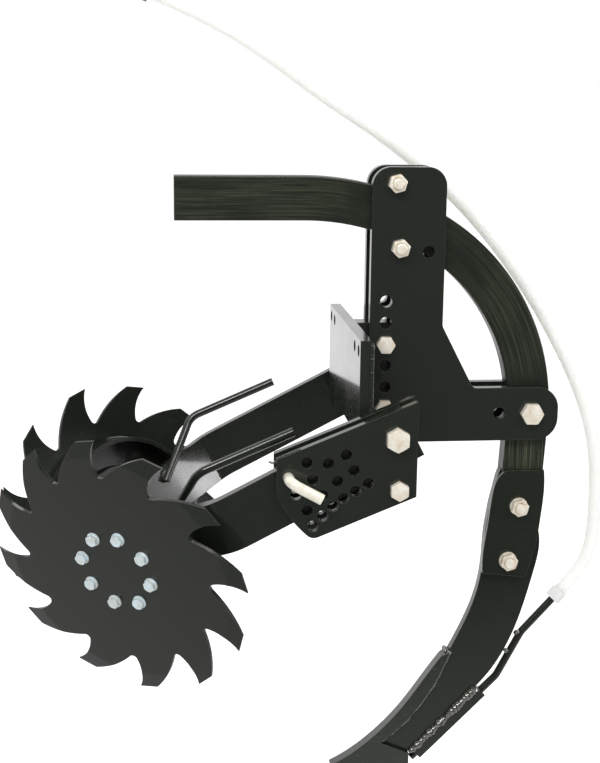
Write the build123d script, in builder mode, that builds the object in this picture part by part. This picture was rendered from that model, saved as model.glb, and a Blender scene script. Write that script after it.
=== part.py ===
from build123d import *
from math import cos, radians, sin, tan
import os

# Row cleaner: two toothed residue wheels on bent arms, carried in front of a
# curved shank that holds a knife with a fluid tube. Millimetres, +Z up, +X to
# the rear, the origin at the centre of the shank's front end face. Pieces of
# the left (near) side, at -Y, are modelled, and the right (far) ones mirrored.

# Shank: flat bar on edge, straight, then two arcs, then straight down with a
# slight lean forwards
SHANK_T = 25.4
SHANK_W = 50.8
SHANK_EDGE = 2.0
SHANK_FLAT = 150.0
SHANK_R1 = 300.0
SHANK_A1 = 30.0
SHANK_R2 = 248.0
SHANK_LEAN = 3.0
SHANK_TAIL = 128.0
SHANK_X = SHANK_FLAT + SHANK_R1 * sin(radians(SHANK_A1)) + SHANK_R2 * (1 - sin(radians(SHANK_A1)))
SHANK_BEND_Z = -SHANK_R1 * (1 - cos(radians(SHANK_A1))) - SHANK_R2 * cos(radians(SHANK_A1))

# The mast's rear arm, the knife, the tube and the hose's low end are given for a
# tail that starts here, and move with it when the shank's bends change
TAIL_GIVEN = (424.0, -254.9667)

# Mast plates, one on each side of the shank
MAST_T = 11.1
MAST_X0 = 226.0
MAST_X1 = 312.6
MAST_TOP = 37.0
MAST_NECK_Z = -148.0
MAST_ARM_X = 352.0
MAST_ARM_TOP = -223.0
MAST_ARM_BOTTOM = -287.6
MAST_END_X = 457.0
MAST_OUT = SHANK_T / 2 + MAST_T
COLUMN_X = 245.0
COLUMN_TOP_Z = -118.2
COLUMN_PITCH = 25.4
COLUMN_HOLES = 6
CLAMP_BOLTS = ((254.1, 18.6), (259.5, -55.6))
HEAD_HOLE = (293.6, -60.4)
ARM_HOLE = (384.7, -254.0)
TAIL_BOLT_Z = -254.4

# Fasteners: shank diameter, width across flats, head height
HALF_BOLT = (12.7, 19.05, 8.1)
PIVOT_BOLT = (15.88, 23.8, 10.0)
BOLT_HOLE = 0.8
NUT_RATIO = 0.86
NUT_FIT = 0.06
STUD_END = 4.0
NUT_TURN = 15.0
HEAD_TURN = 30.0

# Mounting plate across the front, on a block between the mast plates
PLATE_X = 199.5
PLATE_T = 12.7
PLATE_HALF = 128.0
PLATE_TOP = -144.8
PLATE_H = 111.5
PLATE_UP_IN = (43.0, 13.5)
PLATE_UP_DROP = 13.5
PLATE_UP_D = 13.0
PLATE_LOW_Y = 60.0
PLATE_LOW_Z = (-230.0, -241.0)
PLATE_LOW_D = 9.0
PLATE_REAR = PLATE_X + PLATE_T
BLOCK_REACH = 20.0

# Arms: flat bar, pivoted between two plates on each side
SLOPE = 27.5
BEND = 35.0
ARM_W = 62.0
ARM_T = 12.7
ARM_RISE = -2.6
ARM_BEND_AT = 208.7
ARM_BEND_R = 40.0
ARM_HUB_AT = 135.5
ARM_GAP = 15.9
PIVOT_X = 236.6
PIVOT_Z = -247.2
SIDE_T = 9.5
BUSH_OD = 22.0
BUSH_PLAY = 0.3
PIVOT_FIT = 0.06
ARM_Y = -(PLATE_HALF + SIDE_T + ARM_GAP / 2)
FLOAT_UP = 14.0

# Left pivot plates with their grid of setting holes, as radius and angle
TILT = 22.0
NEAR_UP = 30.0
NEAR_DOWN = 69.6
NEAR_X0 = 105.0
NEAR_X1 = 259.5
NEAR_R = 145.0
NEAR_CORNER = 12.0
NEAR_PIN = (125.2, 19.2)
SET_HOLES = {
    58.0: (16.7, 35.9, 57.8),
    73.0: (52.0,),
    79.5: (18.9, 35.4),
    87.5: (48.5,),
    101.7: (14.0, 25.2, 37.1, 46.9),
    117.4: (46.6,),
    125.2: (28.7, 38.7),
    132.9: (46.8,),
}
NEAR_SPACER = (PIVOT_X + 3.4, PIVOT_Z - 57.7)

# Right pivot plates: short, behind the mounting plate
FAR_X0 = PLATE_X + PLATE_T / 2
FAR_X1 = 314.0
FAR_TOP = -187.0
FAR_BOTTOM = -285.0
FAR_CORNER = 8.0
FAR_PIN_R = 52.0
FAR_PIN_A = -7.0
FAR_SET_STEP = 15.0
FAR_TAIL = 70.3
NEAR_TAIL = 19.3
FAR_SPACER = (228.0, -203.0)
SPACER_OD = 20.0

# Setting pins and their hairpin clips
PIN_D = 12.0
PIN_FIT = 0.35
SLOT_PLAY = 0.5
PIN_INNER = 15.0
PIN_STAND = 21.0
PIN_BEND_R = 14.0
PIN_HANDLE = 38.0
HANDLE_DROP = 27.0
CLIP_D = 3.0
CLIP_AT = 6.5
CLIP_RISE = 20.0
CLIP_TIP = 19.0
CLIP_BOW = 20.0
CLIP_GAP = 0.4
CLIP_FLARE = (14.5, 2.8)

# Wheels: disc with swept teeth, depth band, hub, bearing, spindle
WHEEL_R = 165.1
WHEEL_T = 4.8
TEETH = 12
CORNER_R = 0.985 * WHEEL_R
CORNER_A = 8.6
ROOT_R = 0.70 * WHEEL_R
ROOT_A = 0.4
ROOT_FILLET = 5.5
FRONT_SAG = 7.0
BACK_SAG = 4.8
BEVEL = 22.0
EDGE_T = 1.6
NEAR_PHASE = 0.0
FAR_PHASE = 8.7
WHEEL_OUT = 44.2
BAND_R = 95.0
BAND_T = 5.0
BAND_W = 30.0
HUB_R = 61.0
HUB_T = 9.0
BARREL_R = 33.0
BARREL_END = 35.4
CAVITY_R = 26.0
CAVITY_END = 5.0
BOLT_RING_R = 44.7
BOLT_RING_A = 31.9
RING_BOLTS = 8
RING_BOLT_D = 8.0
RING_BOLT_AF = 12.7
RING_HEAD = 5.0
RING_FLANGE = (16.5, 1.5)
BEARING_W = 15.0
BEARING_END = 34.0
SPINDLE_D = 20.0
SPINDLE_HEAD_R = 15.0
SPINDLE_SHOULDER_R = 14.0
SPINDLE_NUT_AF = 28.6
RUN_PLAY = 0.3
SEAT_FIT = 0.05

# Guard rods on the arms
ROD_D = 10.0
ROD_FOOT = (86.5, 12.0)
ROD_KNEE = (11.0, 60.8)
ROD_BACK = 115.0
ROD_SLOPE = 23.3
ROD_BEND_R = 24.0

# Knife: cheeks on the shank's end, blade between them, point, tube and guard
CHEEK_T = 4.8
CHEEK_SETBACK = {"near": 0.0, "far": 8.0}
CHEEK_FRONT = (
    (398.5, -327.5), (387.0, -341.5), (382.6, -359.0),
    (378.6, -395.0), (374.8, -423.0), (374.0, -458.0),
)
CHEEK_REAR = (
    (428.0, -465.0), (435.5, -440.0), (440.8, -415.0),
    (444.0, -388.0), (446.8, -352.0), (445.5, -327.5),
)
KNIFE_BOLTS = ((415.7, -372.8), (405.1, -442.0))
BLADE_T = 12.7
BLADE_GAP = 1.0
TANG_AT = 61.0
TANG_GAP = 0.3
PAD_FRONT = 384.0
PAD_REAR = 432.0
PAD_BOTTOM = -456.0
BLADE_FRONT = (
    (391.6, -335.0), (388.0, -350.7), (383.8, -369.0), (380.9, -387.4),
    (378.4, -406.0), (376.6, -443.0), (370.5, -485.0), (356.5, -525.0), (338.0, -563.5),
)
INNER_EDGE = (BLADE_FRONT[-1], (315.5, -612.0), (286.5, -652.0), (253.0, -682.0))
OUTER_EDGE = (
    (189.9, -710.0), (216.5, -694.5), (251.0, -666.0),
    (279.4, -634.6), (303.8, -600.6), (327.4, -567.8),
)
POINT_BEVEL = 10.0
HEEL = (289.5, -698.0)
HEEL_DROP = 15.5
SEAT_TOP = (374.0, -612.5)
BLADE_REAR = (SEAT_TOP, (403.0, -574.0), (426.0, -520.0), (441.5, -462.0), (447.5, -424.0))
TUBE_D = 9.5
TUBE_BEND_R = 24.0
TUBE_OUT = 3.0
TUBE_TOP = (477.0, -492.0)
TUBE_KNEE = (431.0, -543.5)
TUBE_ENTRY = 27.0
TUBE_EXIT = 4.0
GUARD_W = 17.0
GUARD_T = 18.0
GUARD_SHORT = 5.0
FERRULE_D = 20.0
FERRULE_L = 14.0

# Hose from the tube's top, up behind the mast to its end above the shank
HOSE_D = 16.0
HOSE_LEAD = 30.0
HOSE_LOW = (
    (515.5, 1.5, -436.0),
    (519.0, 3.0, -386.0),
    (517.0, 6.0, -308.0),
    (495.0, 12.0, -233.0),
)
HOSE_HIGH = (
    (451.0, 22.0, -148.0),
    (399.0, 33.0, -70.0),
    (333.0, 40.0, 4.0),
    (250.0, 38.0, 69.0),
    (178.0, 33.0, 113.0),
    (106.0, 30.0, 165.0),
    (40.0, 30.0, 203.0),
    (-24.0, 30.0, 229.0),
)
BARB_L = 26.0
BARB_NUT_AF = 22.2

# Directions of the left arm: along its rear part, across it, along its front
# part, and square to the front part, out to the wheel
ALONG = Vector(-cos(radians(SLOPE)), 0, -sin(radians(SLOPE)))
ACROSS = Vector(-sin(radians(SLOPE)), 0, cos(radians(SLOPE)))
INWARD = Vector(0, 1, 0)
FRONT = ALONG * cos(radians(BEND)) + INWARD * sin(radians(BEND))
OUTWARD = ALONG * sin(radians(BEND)) - INWARD * cos(radians(BEND))
PIVOT = Vector(PIVOT_X, ARM_Y, PIVOT_Z)
KNEE = PIVOT + ALONG * ARM_BEND_AT
HUB_ON_ARM = KNEE + FRONT * ARM_HUB_AT + ACROSS * ARM_RISE
WHEEL_CENTRE = HUB_ON_ARM + OUTWARD * WHEEL_OUT
LEVEL = Vector(-OUTWARD.Y, OUTWARD.X, 0).normalized()
ARM_FACE = WHEEL_OUT - ARM_T / 2


TAIL_SHIFT = (SHANK_X - TAIL_GIVEN[0], SHANK_BEND_Z - TAIL_GIVEN[1])


def with_tail(*places):
    # Places moved in x, their first value, and z, their last, as the tail is
    return [(p[0] + TAIL_SHIFT[0], *p[1:-1], p[-1] + TAIL_SHIFT[1]) for p in places]


def polar(radius, angle):
    return (radius * cos(radians(angle)), radius * sin(radians(angle)))


def side_plane(y):
    # Plane facing -Y at this y, with its own x and y along +X and +Z
    return Plane.XZ.offset(-y)


def across_plane(x):
    # Plane facing +X at this x, with its own x and y along +Y and +Z
    return Plane.YZ.offset(x)


def wheel_plane(phase, out=0.0):
    level = LEVEL.rotate(Axis((0, 0, 0), OUTWARD), phase)
    return Plane(origin=WHEEL_CENTRE + OUTWARD * out, x_dir=level, z_dir=OUTWARD)


def save(name, builder, mirrored=False):
    part = mirror(builder.part, about=Plane.XZ) if mirrored else builder.part
    part.label = name
    export_step(part, f"parts/{name}.step")


def hex_prism(plane, centres, flats, height, turn=0.0):
    with BuildSketch(plane) as hexagons:
        with Locations(*centres):
            RegularPolygon(radius=flats / 2, side_count=6, major_radius=False, rotation=turn)
    extrude(hexagons.sketch, amount=height)


def rod_along(plane, centres, diameter, length):
    with BuildSketch(plane) as discs:
        with Locations(*centres):
            Circle(diameter / 2)
    extrude(discs.sketch, amount=length)


def cut_holes(plane, centres, diameter, depth):
    with BuildSketch(plane) as discs:
        with Locations(*centres):
            Circle(diameter / 2)
    extrude(discs.sketch, amount=depth, both=True, mode=Mode.SUBTRACT)


def bolt_body(head_y, tip_y, centres, size, turn=0.0):
    # Bolts along Y: the heads stand on head_y, the stud ends reach tip_y
    diameter, flats, head = size
    way = 1 if tip_y > head_y else -1
    hex_prism(side_plane(head_y), centres, flats, way * head, turn)
    rod_along(side_plane(head_y), centres, diameter, head_y - tip_y)


def nut_body(face_y, centres, size, way, turn=0.0):
    # Nuts along Y, standing on face_y, on the side that way (1 or -1) points to
    diameter, flats, _ = size
    height = nut_height(size)
    hex_prism(side_plane(face_y), centres, flats, -way * height, turn)
    cut_holes(side_plane(face_y), centres, diameter + 2 * NUT_FIT, 2 * height)


def nut_height(size):
    return size[0] * NUT_RATIO


def on_pivot(radius, angle):
    # Point of the left pivot plates, the angle measured down from level, forwards
    dx, dz = polar(radius, angle)
    return (PIVOT_X - dx, PIVOT_Z - dz)


def tilted_z(x, rise):
    return PIVOT_Z + (rise + (x - PIVOT_X) * sin(radians(TILT))) / cos(radians(TILT))


def on_tail(down, back):
    # Point beside the shank's tail: so far down from its start, so far to the rear
    start_x = SHANK_X - SHANK_R2 * (1 - cos(radians(SHANK_LEAN)))
    start_z = SHANK_BEND_Z - SHANK_R2 * sin(radians(SHANK_LEAN))
    down_x, down_z = polar(down, -90 - SHANK_LEAN)
    back_x, back_z = polar(back, -SHANK_LEAN)
    return (start_x + down_x + back_x, start_z + down_z + back_z)


os.makedirs("parts", exist_ok=True)

# Shank
tail_bolt = [(SHANK_X, TAIL_BOLT_Z + TAIL_SHIFT[1])]
knife_holes = with_tail(*KNIFE_BOLTS)
with BuildPart() as shank:
    with BuildLine(Plane.XZ):
        flat = Line((0, 0), (SHANK_FLAT, 0))
        first = JernArc(flat @ 1, flat % 1, SHANK_R1, -SHANK_A1)
        second = JernArc(first @ 1, first % 1, SHANK_R2, SHANK_A1 - 90 - SHANK_LEAN)
        Line(second @ 1, (second @ 1) + (second % 1) * SHANK_TAIL)
    with BuildSketch(Plane.YZ):
        RectangleRounded(SHANK_T, SHANK_W, SHANK_EDGE)
    sweep()
    cut_holes(side_plane(0), tail_bolt, PIVOT_BOLT[0] + BOLT_HOLE, SHANK_T)
    cut_holes(side_plane(0), knife_holes[:1], HALF_BOLT[0] + BOLT_HOLE, SHANK_T)
save("shank", shank)

# Mast plates
column = [(COLUMN_X, COLUMN_TOP_Z - i * COLUMN_PITCH) for i in range(COLUMN_HOLES)]
column_bolts = column[2::3]
clamp_bolts = list(CLAMP_BOLTS)
arm_root, arm_end, arm_corner, arm_hole = with_tail(
    (MAST_ARM_X, MAST_ARM_TOP), (MAST_END_X, MAST_ARM_TOP), (MAST_END_X, MAST_ARM_BOTTOM), ARM_HOLE
)
with BuildPart() as mast_plate:
    with BuildSketch(side_plane(-SHANK_T / 2)):
        with BuildLine():
            FilletPolyline(
                (MAST_X0, MAST_TOP),
                (MAST_X1, MAST_TOP),
                (MAST_X1, MAST_NECK_Z),
                arm_root,
                arm_end,
                arm_corner,
                (MAST_X0, arm_corner[1]),
                radius=[22, 22, 10, 8, 26, 26, 15],
                close=True,
            )
        make_face()
    extrude(amount=MAST_T)
    bolt_holes = column + clamp_bolts + [HEAD_HOLE, arm_hole]
    cut_holes(side_plane(0), bolt_holes, HALF_BOLT[0] + 2 * BOLT_HOLE, 2 * MAST_OUT)
    cut_holes(side_plane(0), tail_bolt, PIVOT_BOLT[0] + 2 * BOLT_HOLE, 2 * MAST_OUT)
save("mast_plate_near", mast_plate)
save("mast_plate_far", mast_plate, mirrored=True)

with BuildPart() as mast_bolts:
    half_reach = MAST_OUT + nut_height(HALF_BOLT) + STUD_END
    tail_reach = MAST_OUT + nut_height(PIVOT_BOLT) + STUD_END
    bolt_body(-MAST_OUT, half_reach, column_bolts, HALF_BOLT)
    bolt_body(-MAST_OUT, tail_reach, tail_bolt, PIVOT_BOLT)
    bolt_body(MAST_OUT, -half_reach, clamp_bolts, HALF_BOLT)
save("mast_bolts", mast_bolts)

with BuildPart() as mast_nuts:
    nut_body(MAST_OUT, column_bolts, HALF_BOLT, 1)
    nut_body(MAST_OUT, tail_bolt, PIVOT_BOLT, 1)
    nut_body(-MAST_OUT, clamp_bolts, HALF_BOLT, -1, NUT_TURN)
save("mast_nuts", mast_nuts)

# Block between the mast plates, and the mounting plate welded to its front
with BuildPart() as mount_block:
    with BuildSketch(side_plane(0)):
        with Locations((PLATE_REAR, PLATE_TOP)):
            Rectangle(COLUMN_X + BLOCK_REACH - PLATE_REAR, PLATE_H, align=(Align.MIN, Align.MAX))
    extrude(amount=SHANK_T / 2, both=True)
    cut_holes(side_plane(0), column_bolts, HALF_BOLT[0] + 2 * BOLT_HOLE, SHANK_T)
save("mount_block", mount_block)

upper_holes = [(s * (PLATE_HALF - y), PLATE_TOP - PLATE_UP_DROP) for s in (-1, 1) for y in PLATE_UP_IN]
lower_holes = [(s * PLATE_LOW_Y, z) for s in (-1, 1) for z in PLATE_LOW_Z]
with BuildPart() as mounting_plate:
    with BuildSketch(across_plane(PLATE_X)):
        with Locations((0, PLATE_TOP)):
            Rectangle(2 * PLATE_HALF, PLATE_H, align=(Align.CENTER, Align.MAX))
    extrude(amount=PLATE_T)
    cut_holes(across_plane(PLATE_X), upper_holes, PLATE_UP_D, 2 * PLATE_T)
    cut_holes(across_plane(PLATE_X), lower_holes, PLATE_LOW_D, 2 * PLATE_T)
save("mounting_plate", mounting_plate)

# Left pivot plates, with the grid of setting holes
near_pin = on_pivot(*NEAR_PIN)
set_holes = [near_pin] + [on_pivot(r, a) for r, angles in SET_HOLES.items() for a in angles]
pivot_at = (PIVOT_X, PIVOT_Z)


def cut_plate_holes(pins, spacer):
    through = 3 * PLATE_HALF
    cut_holes(side_plane(0), pins, PIN_D + 2 * PIN_FIT, through)
    cut_holes(side_plane(0), [pivot_at], PIVOT_BOLT[0] + BOLT_HOLE, through)
    cut_holes(side_plane(0), [spacer], HALF_BOLT[0] + BOLT_HOLE, through)


for name, inner_y in (("inner", PLATE_HALF), ("outer", PLATE_HALF + SIDE_T + ARM_GAP)):
    with BuildPart() as pivot_plate:
        with BuildSketch(side_plane(-inner_y)) as outline:
            with BuildLine():
                Polyline(
                    (NEAR_X0, tilted_z(NEAR_X0, NEAR_UP)),
                    (NEAR_X1, tilted_z(NEAR_X1, NEAR_UP)),
                    (NEAR_X1, tilted_z(NEAR_X1, -NEAR_DOWN)),
                    (NEAR_X0, tilted_z(NEAR_X0, -NEAR_DOWN)),
                    close=True,
                )
            make_face()
            with Locations(pivot_at):
                Circle(NEAR_R, mode=Mode.INTERSECT)
            low_corner = outline.vertices().sort_by(Axis.Y)[0]
            fillet(low_corner, NEAR_CORNER)
        extrude(amount=SIDE_T)
        cut_plate_holes(set_holes, NEAR_SPACER)
    save(f"pivot_plate_near_{name}", pivot_plate)

# Right pivot plates, mirrored into place
tail_angle = SLOPE + FAR_PIN_A


def far_set_point(step):
    dx, dz = polar(FAR_PIN_R, tail_angle + step * FAR_SET_STEP)
    return (PIVOT_X + dx, PIVOT_Z + dz)


far_pin = far_set_point(0)
far_holes = [far_set_point(step) for step in (-1, 0, 1, 2)]
for name, inner_y in (("inner", PLATE_HALF), ("outer", PLATE_HALF + SIDE_T + ARM_GAP)):
    with BuildPart() as pivot_plate:
        with BuildSketch(side_plane(-inner_y)):
            with Locations(((FAR_X0 + FAR_X1) / 2, (FAR_TOP + FAR_BOTTOM) / 2)):
                RectangleRounded(FAR_X1 - FAR_X0, FAR_TOP - FAR_BOTTOM, FAR_CORNER)
        extrude(amount=SIDE_T)
        cut_plate_holes(far_holes, FAR_SPACER)
    save(f"pivot_plate_far_{name}", pivot_plate, mirrored=True)

# Pivot bolts, spacers and their bolts
outer_y = PLATE_HALF + 2 * SIDE_T + ARM_GAP
for side, spacer_at in (("near", NEAR_SPACER), ("far", FAR_SPACER)):
    is_far = side == "far"
    with BuildPart() as pivot_bolt:
        pivot_tip = -PLATE_HALF + nut_height(PIVOT_BOLT) + STUD_END
        bolt_body(-outer_y, pivot_tip, [pivot_at], PIVOT_BOLT, HEAD_TURN)
    save(f"pivot_bolt_{side}", pivot_bolt, is_far)
    with BuildPart() as spacer_bolt:
        spacer_tip = -PLATE_HALF + nut_height(HALF_BOLT) + STUD_END
        bolt_body(-outer_y, spacer_tip, [spacer_at], HALF_BOLT, HEAD_TURN)
    save(f"spacer_bolt_{side}", spacer_bolt, is_far)
    with BuildPart() as pivot_nuts:
        nut_body(-PLATE_HALF, [pivot_at], PIVOT_BOLT, 1)
        nut_body(-PLATE_HALF, [spacer_at], HALF_BOLT, 1)
    save(f"pivot_nuts_{side}", pivot_nuts, is_far)
    with BuildPart() as spacer:
        rod_along(side_plane(-PLATE_HALF - SIDE_T), [spacer_at], SPACER_OD, ARM_GAP)
        cut_holes(side_plane(0), [spacer_at], HALF_BOLT[0] + 2 * NUT_FIT, 400)
    save(f"spacer_{side}", spacer, is_far)

# Setting pins with bent handles, and the hairpin clips on their inner ends
for side, pin_at in (("near", near_pin), ("far", far_pin)):
    is_far = side == "far"
    inner_end = -PLATE_HALF + PIN_INNER
    handle = Vector(cos(radians(HANDLE_DROP)), -0.16, -sin(radians(HANDLE_DROP)))
    start = Vector(pin_at[0], inner_end, pin_at[1])
    knee = Vector(pin_at[0], -outer_y - PIN_STAND, pin_at[1])
    clip_y = inner_end - CLIP_AT
    clip_dir = Vector(-cos(radians(CLIP_RISE)), 0, sin(radians(CLIP_RISE)))
    clip_side = Vector(sin(radians(CLIP_RISE)), 0, cos(radians(CLIP_RISE)))
    clip_mid = Vector(pin_at[0], clip_y, pin_at[1])
    with BuildPart() as setting_pin:
        with BuildLine():
            FilletPolyline(start, knee, knee + handle * PIN_HANDLE, radius=PIN_BEND_R)
        with BuildSketch(Plane(origin=start, z_dir=(0, -1, 0))):
            Circle(PIN_D / 2)
        sweep()
        with BuildSketch(Plane(origin=clip_mid, z_dir=clip_dir)):
            Circle(CLIP_D / 2 + SEAT_FIT)
        extrude(amount=PIN_D, both=True, mode=Mode.SUBTRACT)
    save(f"setting_pin_{side}", setting_pin, is_far)
    with BuildPart() as hairpin:
        over_pin = PIN_D / 2 + CLIP_D / 2 + CLIP_GAP
        flare_along, flare_up = CLIP_FLARE
        with BuildLine():
            clip_path = FilletPolyline(
                clip_mid + clip_dir * CLIP_TIP,
                clip_mid - clip_dir * CLIP_BOW,
                clip_mid - clip_dir * CLIP_BOW + clip_side * over_pin * 1.25,
                clip_mid + clip_side * over_pin,
                clip_mid + clip_dir * flare_along + clip_side * (over_pin + flare_up),
                radius=[3.6, 3.6, 12],
            )
        with BuildSketch(Plane(origin=clip_path @ 0, z_dir=clip_path % 0)):
            Circle(CLIP_D / 2)
        sweep()
    save(f"hairpin_{side}", hairpin, is_far)

# Arms: bar bent inwards, with the pivot hole, an arc slot for the pin and the
# spindle hole
arm_plane = Plane(origin=PIVOT + ACROSS * ARM_RISE, x_dir=ALONG, z_dir=-ACROSS)
flat_plane = Plane(origin=PIVOT, x_dir=ALONG, z_dir=INWARD)
front_plane = Plane(origin=HUB_ON_ARM, x_dir=FRONT, z_dir=FRONT.cross(ACROSS))
near_slot_top = SLOPE - NEAR_PIN[1]
for side, tail, slot_r, slot_a, turn in (
    ("near", NEAR_TAIL, NEAR_PIN[0], near_slot_top, -FLOAT_UP),
    ("far", FAR_TAIL, FAR_PIN_R, 180 - FAR_PIN_A, -FLOAT_UP),
):
    is_far = side == "far"
    slot_line = CenterArc((0, 0), slot_r, slot_a, turn)
    with BuildPart() as arm:
        with BuildLine(arm_plane):
            dx, dy = polar(ARM_HUB_AT + ARM_W / 2, BEND)
            arm_path = FilletPolyline(
                (-tail, 0), (ARM_BEND_AT, 0), (ARM_BEND_AT + dx, dy), radius=ARM_BEND_R
            )
        with BuildSketch(Plane(origin=arm_path @ 0, x_dir=ACROSS, z_dir=arm_path % 0)):
            Rectangle(ARM_W, ARM_T)
        sweep()
        with BuildSketch(front_plane) as end_waste:
            Rectangle(ARM_W, ARM_W + 2, align=(Align.MIN, Align.CENTER))
            Circle(ARM_W / 2, mode=Mode.SUBTRACT)
        extrude(amount=ARM_T, both=True, mode=Mode.SUBTRACT)
        with BuildSketch(front_plane):
            Circle(SPINDLE_D / 2 + SEAT_FIT)
        extrude(amount=ARM_T, both=True, mode=Mode.SUBTRACT)
        with BuildSketch(flat_plane):
            Circle(BUSH_OD / 2 + SEAT_FIT)
            SlotArc(slot_line, PIN_D + 2 * SLOT_PLAY)
        extrude(amount=ARM_T, both=True, mode=Mode.SUBTRACT)
    save(f"arm_{side}", arm, is_far)

with BuildPart() as pivot_bush:
    with BuildSketch(side_plane(ARM_Y)):
        with Locations(pivot_at):
            Circle(BUSH_OD / 2)
            Circle(PIVOT_BOLT[0] / 2 + PIVOT_FIT, mode=Mode.SUBTRACT)
    extrude(amount=ARM_GAP / 2 - BUSH_PLAY, both=True)
save("pivot_bush_near", pivot_bush)
save("pivot_bush_far", pivot_bush, mirrored=True)

# Guard rods welded to the arms' inner faces
rod_lift = OUTWARD * -(ARM_T / 2 + ROD_D / 2)
rod_foot = KNEE + FRONT * ROD_FOOT[0] + ACROSS * ROD_FOOT[1] + rod_lift
rod_knee = KNEE + FRONT * ROD_KNEE[0] + ACROSS * ROD_KNEE[1] + rod_lift
rod_back = Vector(cos(radians(ROD_SLOPE)), 0, sin(radians(ROD_SLOPE)))
with BuildPart() as guard_rod:
    with BuildLine():
        rod_path = FilletPolyline(rod_foot, rod_knee, rod_knee + rod_back * ROD_BACK, radius=ROD_BEND_R)
    with BuildSketch(Plane(origin=rod_path @ 0, z_dir=rod_path % 0)):
        Circle(ROD_D / 2)
    sweep()
save("guard_rod_near", guard_rod)
save("guard_rod_far", guard_rod, mirrored=True)

# Spindles, bearings, hubs, depth bands, toothed wheels and their bolts
with BuildPart() as spindle:
    with BuildSketch(wheel_plane(0, -ARM_FACE)):
        Circle(SPINDLE_SHOULDER_R)
    extrude(amount=ARM_FACE - BEARING_END - RUN_PLAY)
    with BuildSketch(wheel_plane(0, -ARM_FACE - ARM_T - 16)):
        Circle(SPINDLE_D / 2)
    extrude(amount=16 + ARM_T + ARM_FACE - BEARING_END + BEARING_W + RUN_PLAY)
    with BuildSketch(wheel_plane(0, -BEARING_END + BEARING_W + RUN_PLAY)):
        RegularPolygon(SPINDLE_HEAD_R, 6)
    extrude(amount=10)
save("spindle_near", spindle)
save("spindle_far", spindle, mirrored=True)

with BuildPart() as spindle_nut:
    with BuildSketch(wheel_plane(0, -ARM_FACE - ARM_T)):
        RegularPolygon(radius=SPINDLE_NUT_AF / 2, side_count=6, major_radius=False)
        Circle(SPINDLE_D / 2 + NUT_FIT, mode=Mode.SUBTRACT)
    extrude(amount=-13)
save("spindle_nut_near", spindle_nut)
save("spindle_nut_far", spindle_nut, mirrored=True)

ring_bolts = [polar(BOLT_RING_R, BOLT_RING_A + 360 / RING_BOLTS * i) for i in range(RING_BOLTS)]


def wheel_outline():
    # One tooth after another: concave front, flat tip, convex back
    pitch = 360 / TEETH
    for i in range(TEETH):
        root = Vector(*polar(ROOT_R, ROOT_A + pitch * i))
        tip = Vector(*polar(WHEEL_R, pitch * i))
        corner = Vector(*polar(CORNER_R, CORNER_A + pitch * i))
        next_root = Vector(*polar(ROOT_R, ROOT_A + pitch * (i + 1)))
        front_way = (tip - root).rotate(Axis.Z, 90).normalized()
        back_way = (next_root - corner).rotate(Axis.Z, -90).normalized()
        ThreePointArc(root, (root + tip) / 2 + front_way * FRONT_SAG, tip)
        Line(tip, corner)
        ThreePointArc(corner, (corner + next_root) / 2 + back_way * BACK_SAG, next_root)


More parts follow.
